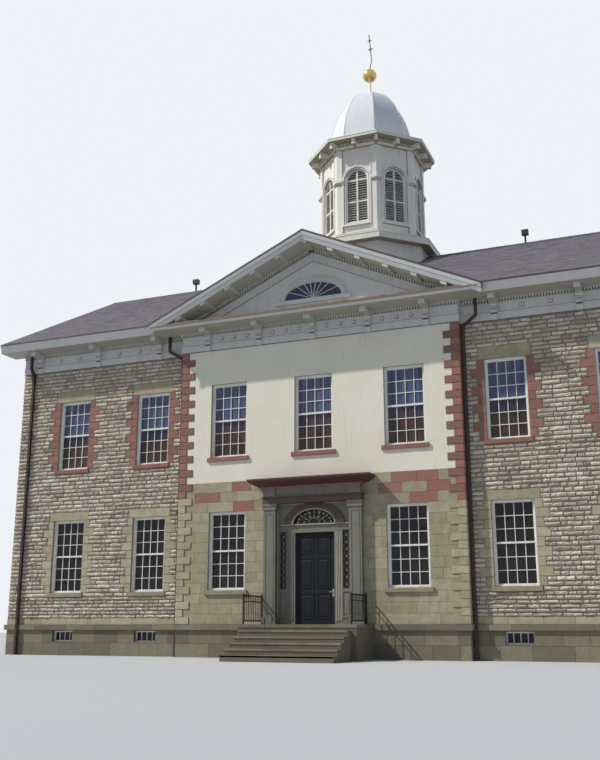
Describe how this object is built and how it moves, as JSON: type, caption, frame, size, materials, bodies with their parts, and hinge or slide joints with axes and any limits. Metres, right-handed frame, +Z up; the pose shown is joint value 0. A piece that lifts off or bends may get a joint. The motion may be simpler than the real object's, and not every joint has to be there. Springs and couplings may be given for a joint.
{
  "type": "courthouse",
  "caption": "Two-storey stone courthouse with a pedimented centre, gabled roof, eight-sided domed cupola and a panelled entrance whose door swings.",
  "frame": {"origin": "on the ground under the middle of the centre block's front face", "axes": "+X to the right along the front, +Y into the building, +Z up"},
  "size_m": [25.51, 17.6, 26.6519],
  "materials": {
    "foundation_stone": "tooled grey limestone",
    "rubble_stone": "coursed rubble limestone",
    "ashlar": "smooth dressed limestone",
    "stucco": "painted stucco on stone",
    "quoin_stone": "red and buff sandstone",
    "sill_stone": "red sandstone",
    "lintel_stone": "smooth limestone",
    "joinery": "cream painted wood",
    "floor_boards": "boards on joists",
    "window_wood": "white painted wood",
    "window_glass": "clear glass",
    "shingles": "shingles on boards",
    "cupola_wood": "cream painted wood",
    "louvre_wood": "dark painted slats in white frames",
    "dome_metal": "white painted sheet",
    "gilding": "gilded ball on a painted stem",
    "rod_metal": "weathered rod",
    "doorcase_wood": "painted wood",
    "canopy_wood": "dark red painted wood",
    "door_paint": "dark blue-grey paint",
    "hardware": "brushed",
    "step_stone": "dressed limestone",
    "railing_iron": "black paint",
    "pipe_paint": "dark brown paint",
    "lamp_paint": "black paint"
  },
  "bodies": {
    "building": {"foundation": "foundation_stone", "ground_floor": "floor_boards", "upper_floor": "floor_boards", "attic_floor": "floor_boards", "pavilion_wall_left": "ashlar", "pavilion_wall_right": "ashlar", "pavilion_wall_upper": "stucco", "left_wing_wall": "rubble_stone", "right_wing_wall": "rubble_stone", "rear_wall": "rubble_stone", "left_end_wall": "rubble_stone", "right_end_wall": "rubble_stone", "corner_quoins": "quoin_stone", "window_sills": "sill_stone", "window_lintels": "lintel_stone", "window_frames": "window_wood", "window_glass": "window_glass", "pavilion_entablature": "joinery", "eave_entablatures": "joinery", "eave_brackets": "joinery", "tympanum": "joinery", "lunette_frame": "joinery", "raking_cornice": "joinery", "pediment_roof": "shingles", "main_roof_front": "shingles", "main_roof_rear": "shingles", "verge_boards": "joinery", "cupola_base": "cupola_wood", "cupola_ledge": "cupola_wood", "cupola_drum": "cupola_wood", "cupola_louvres": "louvre_wood", "cupola_cornice": "cupola_wood", "cupola_dome": "dome_metal", "finial": "gilding", "lightning_rod": "rod_metal", "door_frame": "doorcase_wood", "door_glass": "window_glass", "door_pilasters": "doorcase_wood", "door_canopy": "canopy_wood", "landing": "step_stone", "front_steps": "step_stone", "railings": "railing_iron", "downspouts": "pipe_paint", "roof_lamps": "lamp_paint"},
    "door": {"front_door": "door_paint", "door_hinges": "hardware", "door_handle": "hardware"}
  },
  "joints": [
    {"name": "front_door_hinge", "type": "hinge", "parent": "building", "child": "door", "pos_m": [-0.705, 0.214, 2.5], "axis": [0, 0, 1], "range_deg": [0, 90]}
  ]
}
